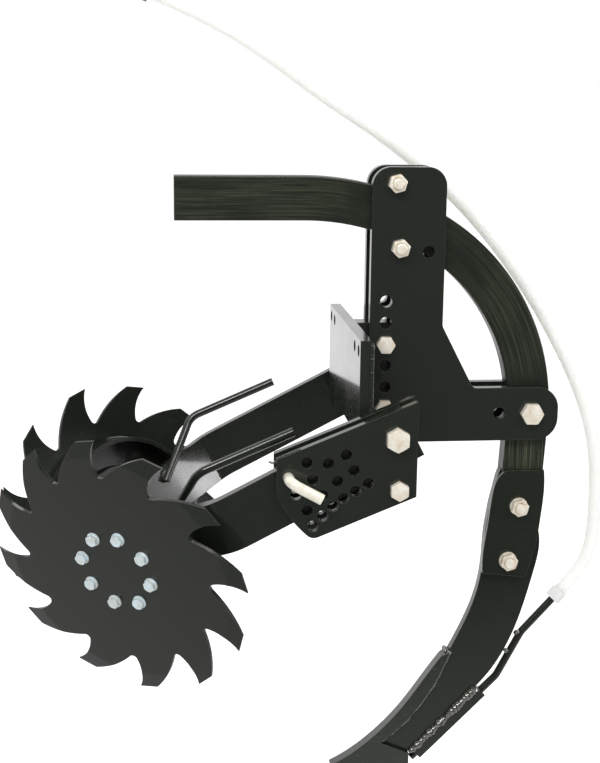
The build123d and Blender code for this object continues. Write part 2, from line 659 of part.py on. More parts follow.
for side, phase in (("near", NEAR_PHASE), ("far", FAR_PHASE)):
    is_far = side == "far"
    with BuildPart() as toothed_wheel:
        with BuildSketch(wheel_plane(phase, -WHEEL_T / 2)) as disc:
            with BuildLine():
                wheel_outline()
            make_face()
            roots = [v for v in disc.vertices() if v.center().length < ROOT_R + 1]
            fillet(roots, ROOT_FILLET)
            with Locations(*ring_bolts):
                Circle(RING_BOLT_D / 2 + 0.5, mode=Mode.SUBTRACT)
        extrude(amount=WHEEL_T)
        bevel_frame = wheel_plane(phase)
        bevel_side = Plane(
            origin=WHEEL_CENTRE, x_dir=bevel_frame.x_dir, z_dir=-bevel_frame.y_dir
        )
        with BuildSketch(bevel_side):
            with BuildLine():
                Polyline(
                    (WHEEL_R - BEVEL, WHEEL_T / 2),
                    (WHEEL_R + 4, EDGE_T - WHEEL_T / 2),
                    (WHEEL_R + 4, WHEEL_T / 2 + 1),
                    (WHEEL_R - BEVEL, WHEEL_T / 2 + 1),
                    close=True,
                )
            make_face()
        revolve(axis=Axis(WHEEL_CENTRE, OUTWARD), mode=Mode.SUBTRACT)
    save(f"toothed_wheel_{side}", toothed_wheel, is_far)

    with BuildPart() as depth_band:
        with BuildSketch(wheel_plane(phase, -WHEEL_T / 2)):
            Circle(BAND_R)
            Circle(BAND_R - BAND_T, mode=Mode.SUBTRACT)
        extrude(amount=-BAND_W)
    save(f"depth_band_{side}", depth_band, is_far)

    with BuildPart() as hub:
        with BuildSketch(wheel_plane(phase, -WHEEL_T / 2)):
            Circle(HUB_R)
        extrude(amount=-HUB_T)
        with BuildSketch(wheel_plane(phase, -WHEEL_T / 2)):
            Circle(BARREL_R)
        extrude(amount=-(BARREL_END - WHEEL_T / 2))
        with BuildSketch(wheel_plane(phase, -CAVITY_END)):
            Circle(CAVITY_R + SEAT_FIT)
        extrude(amount=-(BARREL_END - CAVITY_END), mode=Mode.SUBTRACT)
        with BuildSketch(wheel_plane(phase, -WHEEL_T / 2)):
            with Locations(*ring_bolts):
                Circle(RING_BOLT_D / 2 + SEAT_FIT)
        extrude(amount=-HUB_T, mode=Mode.SUBTRACT)
    save(f"hub_{side}", hub, is_far)

    with BuildPart() as bearing:
        with BuildSketch(wheel_plane(phase, -BEARING_END)):
            Circle(CAVITY_R)
            Circle(SPINDLE_D / 2 + PIVOT_FIT, mode=Mode.SUBTRACT)
        extrude(amount=BEARING_W)
    save(f"bearing_{side}", bearing, is_far)

    with BuildPart() as wheel_bolts:
        top = wheel_plane(phase, WHEEL_T / 2)
        rod_along(top, ring_bolts, RING_FLANGE[0], RING_FLANGE[1])
        hex_prism(wheel_plane(phase, WHEEL_T / 2 + RING_FLANGE[1]), ring_bolts, RING_BOLT_AF, RING_HEAD)
        rod_along(top, ring_bolts, RING_BOLT_D, -(WHEEL_T + HUB_T + 2))
    save(f"wheel_bolts_{side}", wheel_bolts, is_far)

# Knife cheeks, the right one narrower, set back from the blade's front
for side, setback in CHEEK_SETBACK.items():
    front_edge = [(x + setback, z) for x, z in with_tail(*CHEEK_FRONT)]
    rear_edge = with_tail(*CHEEK_REAR)
    with BuildPart() as knife_cheek:
        with BuildSketch(side_plane(-SHANK_T / 2)):
            with BuildLine():
                Spline(*front_edge)
                Line(front_edge[-1], rear_edge[0])
                Spline(*rear_edge)
                Line(rear_edge[-1], front_edge[0])
            make_face()
        extrude(amount=CHEEK_T)
        cut_holes(side_plane(0), knife_holes, HALF_BOLT[0] + BOLT_HOLE, 100)
    save(f"knife_cheek_{side}", knife_cheek, side == "far")

cheek_out = SHANK_T / 2 + CHEEK_T
with BuildPart() as knife_bolts:
    bolt_body(cheek_out, -cheek_out - nut_height(HALF_BOLT) - STUD_END, knife_holes, HALF_BOLT)
save("knife_bolts", knife_bolts)

with BuildPart() as knife_nuts:
    nut_body(-cheek_out, knife_holes, HALF_BOLT, -1, NUT_TURN)
save("knife_nuts", knife_nuts)

# Knife blade: a tang up the shank's front, a thick pad between the cheeks
tang_back = -SHANK_W / 2 - TANG_GAP
tang_top = on_tail(TANG_AT, tang_back)
under_shank = SHANK_TAIL + BLADE_GAP
inner_edge = with_tail(*INNER_EDGE)
outer_edge = with_tail(*OUTER_EDGE)
heel, seat_top, tube_top, tube_knee = with_tail(HEEL, SEAT_TOP, TUBE_TOP, TUBE_KNEE)
pad_front, pad_rear = with_tail((PAD_FRONT, PAD_BOTTOM), (PAD_REAR, PAD_BOTTOM))
with BuildPart() as knife_blade:
    with BuildSketch(side_plane(0)):
        with BuildLine():
            Spline(tang_top, *with_tail(*BLADE_FRONT))
            Spline(*inner_edge)
            Polyline(inner_edge[-1], heel, seat_top)
            Spline(*with_tail(*BLADE_REAR), on_tail(under_shank, SHANK_W / 2))
            Polyline(
                on_tail(under_shank, SHANK_W / 2),
                on_tail(under_shank, tang_back),
                tang_top,
            )
        make_face()
    extrude(amount=BLADE_T / 2, both=True)
    with BuildSketch(side_plane(0)):
        with BuildLine():
            Polyline(
                on_tail(under_shank, pad_front[0] - on_tail(under_shank, 0)[0]),
                on_tail(under_shank, pad_rear[0] - on_tail(under_shank, 0)[0]),
                (pad_rear[0] - 4, pad_rear[1]),
                pad_front,
                close=True,
            )
        make_face()
    extrude(amount=SHANK_T / 2, both=True)
    cut_holes(side_plane(0), knife_holes[1:], HALF_BOLT[0] + BOLT_HOLE, 100)
save("knife_blade", knife_blade)

# Point: thick, with its leading edge bevelled from both sides
with BuildPart() as knife_point:
    with BuildSketch(side_plane(0)):
        with BuildLine():
            Spline(*inner_edge)
            Line(inner_edge[-1], heel)
            Polyline(heel, (heel[0], heel[1] - HEEL_DROP), outer_edge[0])
            Spline(*outer_edge)
            Line(outer_edge[-1], inner_edge[0])
        make_face()
    extrude(amount=SHANK_T / 2, both=True)
    outer_mid = Vector(outer_edge[3][0], 0, outer_edge[3][1])
    lead_face = knife_point.faces().sort_by_distance(outer_mid)[0]
    side_edges = [e for e in lead_face.edges() if abs(e.center().Y) > SHANK_T / 2 - 0.1]
    chamfer(side_edges, POINT_BEVEL)
save("knife_point", knife_point)

# Fluid tube behind the blade, its guard on the blade's lower rear edge, ferrule
seat_way = Vector(heel[0] - seat_top[0], 0, heel[1] - seat_top[1])
guard_length = seat_way.length - GUARD_SHORT
seat_way = seat_way.normalized()
seat_out = Vector(-seat_way.Z, 0, seat_way.X)
seat_start = Vector(seat_top[0], 0, seat_top[1])
guard_start = seat_start + seat_out * (GUARD_W / 2)
axis_start = guard_start + seat_out * TUBE_OUT
tube_end = Vector(tube_top[0], 0, tube_top[1])
tube_bend = Vector(tube_knee[0], 0, tube_knee[1])
tube_entry = axis_start - seat_way * TUBE_ENTRY
tube_exit = axis_start + seat_way * (guard_length + GUARD_SHORT + TUBE_EXIT)
with BuildPart() as product_tube:
    with BuildLine():
        tube_path = FilletPolyline(tube_end, tube_bend, tube_entry, tube_exit, radius=TUBE_BEND_R)
    with BuildSketch(Plane(origin=tube_path @ 0, z_dir=tube_path % 0)):
        Circle(TUBE_D / 2)
    sweep()
save("product_tube", product_tube)

with BuildPart() as tube_guard:
    with BuildSketch(Plane(origin=guard_start, x_dir=(0, 1, 0), z_dir=seat_way)):
        Rectangle(GUARD_T, GUARD_W)
    extrude(amount=guard_length)
    with BuildSketch(Plane(origin=axis_start - seat_way, x_dir=(0, 1, 0), z_dir=seat_way)):
        Circle(TUBE_D / 2 + SEAT_FIT)
    extrude(amount=guard_length + 2, mode=Mode.SUBTRACT)
save("tube_guard", tube_guard)

tube_way = (tube_end - tube_bend).normalized()
with BuildPart() as hose_ferrule:
    with BuildSketch(Plane(origin=tube_end - tube_way * (FERRULE_L - 3), z_dir=tube_way)):
        Circle(FERRULE_D / 2)
    extrude(amount=FERRULE_L)
    with BuildSketch(Plane(origin=tube_end - tube_way * FERRULE_L, z_dir=tube_way)):
        Circle(TUBE_D / 2 + SEAT_FIT)
    extrude(amount=FERRULE_L, mode=Mode.SUBTRACT)
save("hose_ferrule", hose_ferrule)

# Hose: straight runs joined by tangent arcs
hose_start = tube_end + tube_way * 3
hose_places = with_tail(*HOSE_LOW) + list(HOSE_HIGH)
hose_route = [hose_start, hose_start + tube_way * HOSE_LEAD] + [Vector(*p) for p in hose_places]
hose_radii = []
for before, at, after in zip(hose_route, hose_route[1:], hose_route[2:]):
    run = min((at - before).length, (after - at).length)
    turn = (at - before).get_angle(after - at)
    hose_radii.append(0.45 * run / tan(radians(turn / 2)))
with BuildPart() as hose:
    with BuildLine():
        hose_path = FilletPolyline(*hose_route, radius=hose_radii)
    with BuildSketch(Plane(origin=hose_path @ 0, z_dir=hose_path % 0)):
        Circle(HOSE_D / 2)
    sweep()
save("hose", hose)
hose_length = hose_path.length
section = 3.14159265 * HOSE_D**2 / 4
print("hose radii", [round(r) for r in hose_radii], "length", round(hose_length, 1))
print("hose volume over section times length", round(hose.part.volume / (section * hose_length), 5))

hose_end = hose_route[-1]
hose_way = (hose_route[-1] - hose_route[-2]).normalized()
with BuildPart() as hose_fitting:
    with BuildSketch(Plane(origin=hose_end, z_dir=hose_way)):
        RegularPolygon(radius=BARB_NUT_AF / 2, side_count=6, major_radius=False)
    extrude(amount=BARB_L / 2)
    with BuildSketch(Plane(origin=hose_end + hose_way * BARB_L / 2, z_dir=hose_way)):
        Circle(HOSE_D / 2)
    extrude(amount=BARB_L / 2)
save("hose_fitting", hose_fitting)
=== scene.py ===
import math
import random

import bmesh
import bpy
from mathutils import Matrix, Vector


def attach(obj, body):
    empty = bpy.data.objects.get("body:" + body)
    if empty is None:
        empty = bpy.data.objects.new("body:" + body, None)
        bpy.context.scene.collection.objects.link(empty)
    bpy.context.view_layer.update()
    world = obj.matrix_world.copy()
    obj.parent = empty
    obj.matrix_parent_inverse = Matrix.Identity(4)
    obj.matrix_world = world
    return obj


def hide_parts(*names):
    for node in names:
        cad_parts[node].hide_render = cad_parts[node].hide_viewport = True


bl_info = {
    "name": "Row cleaner looks",
    "version": (1, 0, 0),
    "blender": (4, 5, 0),
    "location": "View3D > Sidebar > Row cleaner",
    "description": "Finishes, fasteners, welds, hose and studio for a row cleaner on a curved shank",
    "category": "Object",
}

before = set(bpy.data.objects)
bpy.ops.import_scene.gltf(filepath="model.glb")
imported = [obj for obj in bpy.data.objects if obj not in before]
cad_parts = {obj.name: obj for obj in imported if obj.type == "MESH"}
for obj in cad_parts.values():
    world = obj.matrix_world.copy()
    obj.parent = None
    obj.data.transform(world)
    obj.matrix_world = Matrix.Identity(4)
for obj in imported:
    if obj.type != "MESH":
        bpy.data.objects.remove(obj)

MM = 0.001
SIDES = ("near", "far")

# Where things are on the part's near side, in millimetres, as in its solids
SLOPE = math.radians(27.5)
BEND = math.radians(35.0)
ALONG = Vector((-math.cos(SLOPE), 0, -math.sin(SLOPE)))
ACROSS = Vector((-math.sin(SLOPE), 0, math.cos(SLOPE)))
INWARD = Vector((0, 1, 0))
FRONT = ALONG * math.cos(BEND) + INWARD * math.sin(BEND)
OUTWARD = ALONG * math.sin(BEND) - INWARD * math.cos(BEND)
PIVOT = Vector((236.6, -145.45, -247.2))
KNEE = PIVOT + ALONG * 208.7
HUB_ON_ARM = KNEE + FRONT * 135.5 + ACROSS * -2.6
WHEEL_OUT = 44.2
WHEEL_CENTRE = HUB_ON_ARM + OUTWARD * WHEEL_OUT
LEVEL = Vector((-OUTWARD.y, OUTWARD.x, 0)).normalized()
ARM_T = 12.7
ARM_FACE = WHEEL_OUT - ARM_T / 2

# Fasteners: shank diameter, width across flats, head height
HALF_BOLT = (12.7, 19.05, 8.1)
PIVOT_BOLT = (15.88, 23.8, 10.0)
RING_BOLT = (8.0, 12.7, 5.0)
# Spindle nut: width across flats, height, radius of its bore
SPINDLE_NUT = (28.6, 13.0, 10.06)
# Flanges: radius, thickness
KNIFE_FLANGE = (11.2, 2.4)
RING_FLANGE = (8.25, 1.5)
RING_DISH = 0.7
NUT_RATIO = 0.86
NUT_FIT = 0.06
BORE_CHAMFER = 0.9
FACE_SHARE = 0.96
CHAMFER_SLOPE = math.tan(math.radians(30))
THREAD_PITCH = 1.9
THREAD_DEPTH = 0.55
THREAD_SPARE = 1.0
STUD_END = 4.0
HEAD_TURN = 30.0
NUT_TURN = 15.0

# Where the fasteners are: X and Z of their centres, and the faces that they sit on
MAST_OUT = 23.8
COLUMN_BOLTS = ((245.0, -169.0), (245.0, -245.2))
CLAMP_BOLTS = ((254.1, 18.6), (259.5, -55.6))
TAIL_BOLT = (424.0, -254.4)
PLATE_INNER = 128.0
PLATE_OUTER = 162.9
PIVOT_AT = (236.6, -247.2)
SPACER_AT = {"near": (240.0, -304.9), "far": (228.0, -203.0)}
CHEEK_OUT = 17.5
KNIFE_BOLTS = ((415.7, -372.8), (405.1, -442.0))
BOLT_RING_R = 44.7
BOLT_RING_A = 31.9
RING_BOLTS = 8
WHEEL_T = 4.8
HUB_T = 9.0
BAND_R = 95.0
BARREL_R = 33.0
PHASES = {"near": 0.0, "far": 8.7}

# Places of the welds
PLATE_REAR = 212.2
PLATE_TOP = -144.8
PLATE_FOOT = -256.3
BLOCK_HALF = 12.7
BLADE_HALF = 6.35
SEAT_TOP = (374.0, -612.5)
HEEL = (289.5, -698.0)
INNER_EDGE = ((338.0, -563.5), (315.5, -612.0), (286.5, -652.0), (253.0, -682.0))
ROD_FOOT = (86.5, 12.0)
ROD_KNEE = (11.0, 60.8)
ROD_D = 10.0
TUBE_TACKS = ((431.5, 0.0, -547.0), (419.0, 0.0, -571.0))
TACK_WAY = Vector((-0.885, 0, 0.465))
# Weld beads: sides of their skin, how far a ripple bows forward, ring spacing in radii
BEAD_SIDES = 10
BEAD_BOW = 0.5
BEAD_STEP = 0.22
BAND_WELDS = 6

# Platings of the small pieces: colour, and the tarnish on it
BLUE_ZINC = (0.70, 0.82, 0.88)
BLUE_TARNISH = (0.60, 0.52, 0.38)
CREAM_ZINC = (0.95, 0.92, 0.80)
CREAM_TARNISH = (0.74, 0.68, 0.52)
WIRE = (0.90, 0.88, 0.78)
WIRE_TARNISH = (0.62, 0.58, 0.46)
STEEL = (0.50, 0.49, 0.47)
STEEL_TARNISH = (0.25, 0.22, 0.18)
WELD_SCALE = (0.26, 0.26, 0.24)
FERRULE_MILK = (0.93, 0.94, 0.89)
FITTING_BLACK = (0.02, 0.02, 0.02)
WHITE = (1.0, 1.0, 1.0, 1.0)

# The camera, solved from the photograph: place in metres, turns in radians, sizes in pixels
CAMERA_AT = (-0.02890, -1.59404, 0.13311)
YAW, PITCH, ROLL = 0.1102391, 0.2151501, 0.0111565
FOCAL_PX = 1381.33
PHOTO_PX = 763
SENSOR_MM = 36.0

# Lamps: name, shape, size, place, where it points, the power setting it takes and its share
LAMPS = (
    ("key_lamp", "DISK", (1.1, 1.1), (-1.1, -1.9, 1.5), (0.1, 0.0, -0.3), "key_power", 1.0),
    ("top_lamp", "DISK", (1.2, 1.2), (0.5, 0.6, 1.9), (0.1, 0.0, -0.3), "fill_power", 1.6),
    ("side_lamp", "DISK", (0.4, 0.4), (2.0, -0.68, 0.08), (0.0, 0.1, -0.35), "fill_power", 0.6),
    ("strip_lamp", "RECTANGLE", (3.2, 0.3), (-0.1, -1.5, 1.35), (0.0, 0.0, -0.35), "fill_power", 2.2),
)

# The floor, and the studio as reflections see it: from here to there in depth, from dim to white
FLOOR_SIZE = 14.0
FLOOR_X = 0.15
FLOOR_DIM = (-0.95, 0.5, 0.12, 1.0)
ROOM_DIM = (-0.42, 0.35, 0.12, 1.0)

# The shank's line: where its bends turn about, and the end of its first bend
BEND_ONE = (150.0, -300.0)
BEND_TWO = (176.0, -254.97)
BEND_STEP = 52.0
FIRST_BEND_END = 300.0
# The tail is rubbed nearly bare between these heights
RUBBED_FROM = -270.0
RUBBED_TO = -300.0

HOSE_POINTS = (
    (479.0, 0.0, -489.76),
    (498.98, 0.0, -467.38),
    (515.5, 1.5, -436.0),
    (519.0, 3.0, -386.0),
    (517.0, 6.0, -308.0),
    (495.0, 12.0, -233.0),
    (451.0, 22.0, -148.0),
    (399.0, 33.0, -70.0),
    (333.0, 40.0, 4.0),
    (250.0, 38.0, 69.0),
    (178.0, 33.0, 113.0),
    (106.0, 30.0, 165.0),
    (40.0, 30.0, 203.0),
    (-24.0, 30.0, 229.0),
)

FRAME_NODES = (
    "mast_plate_near", "mast_plate_far", "mount_block", "pivot_plate_near_inner",
    "pivot_plate_near_outer", "pivot_plate_far_inner", "pivot_plate_far_outer", "spacer_near",
    "spacer_far", "arm_near", "arm_far", "guard_rod_near", "guard_rod_far",
)
KNIFE_NODES = (
    "knife_cheek_near", "knife_cheek_far", "knife_blade", "product_tube", "tube_guard",
)
WHEEL_NODES = (
    "toothed_wheel_near", "toothed_wheel_far", "depth_band_near", "depth_band_far",
    "hub_near", "hub_far",
)
ZINC_NODES = (
    "mast_bolts", "mast_nuts", "knife_bolts", "knife_nuts", "pivot_bolt_near",
    "pivot_bolt_far", "pivot_nuts_near", "pivot_nuts_far", "spacer_bolt_near",
    "spacer_bolt_far", "spindle_nut_near", "spindle_nut_far",
)
STEEL_NODES = (
    "pivot_bush_near", "pivot_bush_far", "bearing_near", "bearing_far",
    "spindle_near", "spindle_far",
)


# Sizes and colours

class RowCleanerFinish(bpy.types.PropertyGroup):
    frame_black: bpy.props.FloatVectorProperty(
        name="Frame black", description="Colour of the mast, plates and arms",
        subtype="COLOR", size=3, default=(0.0150, 0.0185, 0.0135), min=0, max=1)
    shank_black: bpy.props.FloatVectorProperty(
        name="Shank black", description="Colour of the shank and knife",
        subtype="COLOR", size=3, default=(0.0125, 0.0165, 0.0105), min=0, max=1)
    shank_lines: bpy.props.FloatVectorProperty(
        name="Rolling lines", description="Colour of the lines along the shank",
        subtype="COLOR", size=3, default=(0.130, 0.142, 0.080), min=0, max=1)
    wheel_black: bpy.props.FloatVectorProperty(
        name="Wheel black", description="Colour of the toothed wheels",
        subtype="COLOR", size=3, default=(0.0125, 0.0150, 0.0110), min=0, max=1)
    zinc: bpy.props.FloatVectorProperty(
        name="Yellowed zinc", description="Colour of the plated bolts and nuts",
        subtype="COLOR", size=3, default=(0.97, 0.95, 0.87), min=0, max=1)
    zinc_tarnish: bpy.props.FloatVectorProperty(
        name="Zinc tarnish", description="Darker colour that creeps over the plating",
        subtype="COLOR", size=3, default=(0.74, 0.63, 0.47), min=0, max=1)
    edge_radius: bpy.props.FloatProperty(
        name="Edge radius", description="How far the eased edges reach",
        subtype="DISTANCE", unit="LENGTH", default=0.0012, min=0.0001, max=0.01)
    peel: bpy.props.FloatProperty(
        name="Orange peel", description="Height of the paint's waviness",
        default=0.35, min=0, max=2)


class RowCleanerHose(bpy.types.PropertyGroup):
    diameter: bpy.props.FloatProperty(
        name="Diameter", description="Outside diameter of the hose",
        subtype="DISTANCE", unit="LENGTH", default=0.016, min=0.004, max=0.05)
    milk: bpy.props.FloatVectorProperty(
        name="Milky white", description="Colour of the natural plastic",
        subtype="COLOR", size=3, default=(0.95, 0.96, 0.87), min=0, max=1)


class RowCleanerStage(bpy.types.PropertyGroup):
    floor_height: bpy.props.FloatProperty(
        name="Floor height", description="Height of the floor in the part's frame",
        subtype="DISTANCE", unit="LENGTH", default=-0.86)
    key_power: bpy.props.FloatProperty(
        name="Key lamp", description="Power of the large lamp", default=19.0, min=0)
    fill_power: bpy.props.FloatProperty(
        name="Fill lamp", description="Power of the small lamps", default=9.0, min=0)


# Shader groups

def feed(tree, socket, value):
    """Link another socket in, or set the value."""
    if isinstance(value, bpy.types.NodeSocket):
        tree.links.new(value, socket)
    else:
        socket.default_value = value


def add(tree, kind, **settings):
    """Node with its inputs fed by name, and its other settings set."""
    node = tree.nodes.new(kind)
    for key, value in settings.items():
        socket = node.inputs.get(key.replace("_", " "))
        if socket is None:
            setattr(node, key, value)
        else:
            feed(tree, socket, value)
    return node


def numbered(tree, kind, *values, **settings):
    """Node with its inputs fed in their order."""
    node = add(tree, kind, **settings)
    for socket, value in zip(node.inputs, values):
        feed(tree, socket, value)
    return node.outputs


def math_node(tree, operation, *values):
    return numbered(tree, "ShaderNodeMath", *values, operation=operation)[0]


def noise(tree, vector, scale, detail, roughness):
    return add(tree, "ShaderNodeTexNoise", Vector=vector, Scale=scale, Detail=detail,
               Roughness=roughness).outputs[0]


def remap(tree, value, low, high, to_low=0.0, to_high=1.0):
    return add(tree, "ShaderNodeMapRange", Value=value, From_Min=low, From_Max=high, To_Min=to_low,
               To_Max=to_high).outputs[0]


def blend(tree, factor, first, second):
    """Colour between two, each a colour or a socket."""
    node = add(tree, "ShaderNodeMix", data_type="RGBA")
    for k, value in ((0, factor), (6, first), (7, second)):
        feed(tree, node.inputs[k], value)
    return node.outputs[2]


def object_coords(tree):
    return add(tree, "ShaderNodeTexCoord").outputs["Object"]


def new_group(name, inputs, outputs):
    group = bpy.data.node_groups.new(name, "ShaderNodeTree")
    for label, kind, value in inputs:
        socket = group.interface.new_socket(label, in_out="INPUT", socket_type=kind)
        socket.default_value = value
    for label, kind in outputs:
        group.interface.new_socket(label, in_out="OUTPUT", socket_type=kind)
    return group, add(group, "NodeGroupInput").outputs, add(group, "NodeGroupOutput").inputs


def group_eased_edges():
    """Mask of the edges and a normal that rounds them."""
    group, given, out = new_group(
        "Eased edges",
        [("Radius", "NodeSocketFloat", 0.0012), ("Gain", "NodeSocketFloat", 3.0),
         ("Break up", "NodeSocketFloat", 0.5)],
        [("Mask", "NodeSocketFloat"), ("Normal", "NodeSocketVector")])
    rounded = add(group, "ShaderNodeBevel", samples=6, Radius=given["Radius"]).outputs[0]
    flat = add(group, "ShaderNodeNewGeometry").outputs["Normal"]
    facing = numbered(group, "ShaderNodeVectorMath", rounded, flat, operation="DOT_PRODUCT")["Value"]
    away = math_node(group, "SUBTRACT", 1.0, facing)
    gained = math_node(group, "MULTIPLY", away, given["Gain"])
    wander = math_node(group, "MULTIPLY", noise(group, object_coords(group), 140.0, 4.0, 0.65),
                       given["Break up"])
    broken = math_node(group, "MAXIMUM", math_node(group, "SUBTRACT", gained, wander), 0.0)
    feed(group, out["Mask"], math_node(group, "MINIMUM", broken, 1.0))
    feed(group, out["Normal"], rounded)
    return group


def group_orange_peel():
    """Waviness of sprayed paint, its roughness changes and fine handling marks, whose mask also places
    painted glints.
    """
    group, given, out = new_group(
        "Orange peel",
        [("Scale", "NodeSocketFloat", 420.0), ("Height", "NodeSocketFloat", 1.0),
         ("Low roughness", "NodeSocketFloat", 0.2), ("High roughness", "NodeSocketFloat", 0.35)],
        [("Height", "NodeSocketFloat"), ("Roughness", "NodeSocketFloat"), ("Marks and glints", "NodeSocketFloat")])
    coords = object_coords(group)
    fine = noise(group, coords, given["Scale"], 2.0, 0.5)
    slow = noise(group, coords, 14.0, 5.0, 0.6)
    rough = remap(group, slow, 0.32, 0.68, given["Low roughness"], given["High roughness"])
    stretched = add(group, "ShaderNodeMapping", Vector=coords, Rotation=(0.5, 0.9, 0.3),
                    Scale=(1.0, 1.0, 9.0)).outputs[0]
    marks = remap(group, noise(group, stretched, 60.0, 6.0, 0.75), 0.60, 0.72)
    feed(group, out["Height"], math_node(group, "MULTIPLY", fine, given["Height"]))
    feed(group, out["Roughness"], math_node(group, "ADD", rough, math_node(group, "MULTIPLY", marks, 0.07)))
    feed(group, out["Marks and glints"], marks)
    return group


def group_plating():
    """Plated steel: spangle, and tarnish that creeps over it."""
    group, given, out = new_group(
        "Plating",
        [("Bright", "NodeSocketColor", (0.66, 0.62, 0.53, 1)),
         ("Tarnish", "NodeSocketColor", (0.36, 0.30, 0.20, 1)),
         ("Share", "NodeSocketFloat", 0.4), ("Scale", "NodeSocketFloat", 120.0)],
        [("Color", "NodeSocketColor"), ("Roughness", "NodeSocketFloat"), ("Height", "NodeSocketFloat")])
    coords = object_coords(group)
    blotch = noise(group, coords, given["Scale"], 5.0, 0.6)
    spangle = add(group, "ShaderNodeTexVoronoi", Vector=coords, Scale=900.0).outputs["Distance"]
    aged = remap(group, math_node(group, "ADD", blotch, given["Share"]), 0.72, 1.12)
    feed(group, out["Color"], blend(group, aged, given["Bright"], given["Tarnish"]))
    feed(group, out["Roughness"], math_node(group, "ADD", math_node(group, "MULTIPLY", aged, 0.20), 0.18))
    feed(group, out["Height"], math_node(group, "ADD", math_node(group, "MULTIPLY", spangle, 0.6), blotch))
    return group


def group_drawn_lines():
    """Lines left by rolling, which run along the bar and round its bends."""
    group, given, out = new_group(
        "Drawn lines",
        [("Fineness", "NodeSocketFloat", 620.0), ("Length", "NodeSocketFloat", 9.0)],
        [("Lines", "NodeSocketFloat"), ("Patches", "NodeSocketFloat")])
    coords = object_coords(group)
    split = add(group, "ShaderNodeSeparateXYZ", Vector=coords).outputs
    x, z = split["X"], split["Z"]

    def reach(centre, less):
        """Distance past a bend's centre, which lines keep as they run straight and then round."""
        sides = [math_node(group, "SUBTRACT", at, c * MM) for at, c in zip((x, z), centre)]
        sides = [math_node(group, "POWER", math_node(group, "MAXIMUM", side, 0.0), 2.0) for side in sides]
        return math_node(group, "SUBTRACT", math_node(group, "SQRT", math_node(group, "ADD", *sides)),
                         less * MM)

    later = math_node(group, "GREATER_THAN", x, FIRST_BEND_END * MM)
    one, two = reach(BEND_ONE, BEND_STEP), reach(BEND_TWO, 0.0)
    change = math_node(group, "MULTIPLY", math_node(group, "SUBTRACT", two, one), later)
    drawn_out = [math_node(group, "MULTIPLY", math_node(group, "ADD", one, change), given["Fineness"])]
    drawn_out += [math_node(group, "MULTIPLY", at, given["Length"]) for at in (x, z)]
    joined = numbered(group, "ShaderNodeCombineXYZ", *drawn_out)[0]
    lines = remap(group, noise(group, joined, 1.0, 4.0, 0.7), 0.44, 0.80)
    patches = remap(group, noise(group, coords, 11.0, 3.0, 0.55), 0.30, 0.58)
    bare = remap(group, z, RUBBED_FROM * MM, RUBBED_TO * MM)
    feed(group, out["Lines"], lines)
    feed(group, out["Patches"],
         math_node(group, "MAXIMUM", math_node(group, "MULTIPLY", patches, 0.55), bare))
    return group


def placed(tree, name, maker, **values):
    """Outputs of a shared group, which is made the first time."""
    group = bpy.data.node_groups.get(name) or maker()
    return add(tree, "ShaderNodeGroup", node_tree=group, **values).outputs


# Materials

def bare_tree(owner):
    """Emptied node tree of a material or a world."""
    owner.use_nodes = True
    owner.node_tree.nodes.clear()
    return owner.node_tree


def new_material(name):
    """Material with a plain shader. One of that name is made over, wherever it's used."""
    material = bpy.data.materials.get(name) or bpy.data.materials.new(name)
    tree = bare_tree(material)
    shader = add(tree, "ShaderNodeBsdfPrincipled")
    add(tree, "ShaderNodeOutputMaterial", Surface=shader.outputs[0])
    return material, tree, shader.inputs


def tint(colour, factor=1.0):
    return tuple(min(1.0, c * factor) for c in colour[:3]) + (1.0,)


def surface(tree, shader, colour, skin, edges, strength, distance):
    """Feed the shader from a skin's roughness and height and from eased edges."""
    bump = add(tree, "ShaderNodeBump", Strength=strength, Distance=distance, Height=skin["Height"],
               Normal=edges["Normal"])
    feed(tree, shader["Base Color"], colour)
    feed(tree, shader["Roughness"], skin["Roughness"])
    feed(tree, shader["Normal"], bump.outputs[0])


def gloss_paint(name, colour, rough, peel, scale=420.0, edge=0.0012, painted_edge_highlight=7.0, drawn=None,
                coat=0.6, marks_and_glint_light=1.7, metal=0.0):
    """Sprayed black paint with waviness, painted highlights on its edges, and handling marks lightened in
    tone, which on welds and the knife point are a painted sparkle.
    """
    material, tree, shader = new_material(name)
    edges = placed(tree, "Eased edges", group_eased_edges, Radius=edge, Gain=2.6, Break_up=0.55)
    skin = placed(tree, "Orange peel", group_orange_peel, Scale=scale, Height=peel,
                  Low_roughness=rough[0], High_roughness=rough[1])
    # Painted highlight: the edges' colour is lightened, standing in for the light that rounded edges catch.
    final = blend(tree, edges["Mask"], tint(colour), tint(colour, painted_edge_highlight))
    # Handling marks lightened in tone; where the lightening is strong, as on the welds and the knife point,
    # it is a painted sparkle of light.
    final = blend(tree, skin["Marks and glints"], final, tint(colour, marks_and_glint_light))
    if drawn is not None:
        rolled = placed(tree, "Drawn lines", group_drawn_lines)
        lit = math_node(tree, "MULTIPLY", rolled["Lines"], rolled["Patches"])
        final = blend(tree, lit, final, tint(drawn))
    surface(tree, shader, final, skin, edges, 0.12, 0.0003)
    shader["Metallic"].default_value = metal
    shader["Coat Weight"].default_value = coat
    shader["Coat Roughness"].default_value = 0.07
    return material


def plated_steel(name, bright, tarnish, share, metal=0.12):
    """Zinc plated or bare steel with tarnish and eased edges."""
    material, tree, shader = new_material(name)
    plating = placed(tree, "Plating", group_plating, Bright=tint(bright), Tarnish=tint(tarnish),
                     Share=share, Scale=120.0)
    edges = placed(tree, "Eased edges", group_eased_edges, Radius=0.0006, Gain=1.5, Break_up=0.3)
    surface(tree, shader, plating["Color"], plating, edges, 0.18, 0.0002)
    shader["Metallic"].default_value = metal
    return material


def yellowed_zinc(finish):
    """Plating of the large fasteners, shared by their solids and turned pieces."""
    return plated_steel("yellowed_zinc", finish.zinc, finish.zinc_tarnish, 0.42)


def blue_zinc():
    """Plating of the wheel bolts, shared by their solids and turned pieces."""
    return plated_steel("blue_zinc", BLUE_ZINC, BLUE_TARNISH, 0.30)


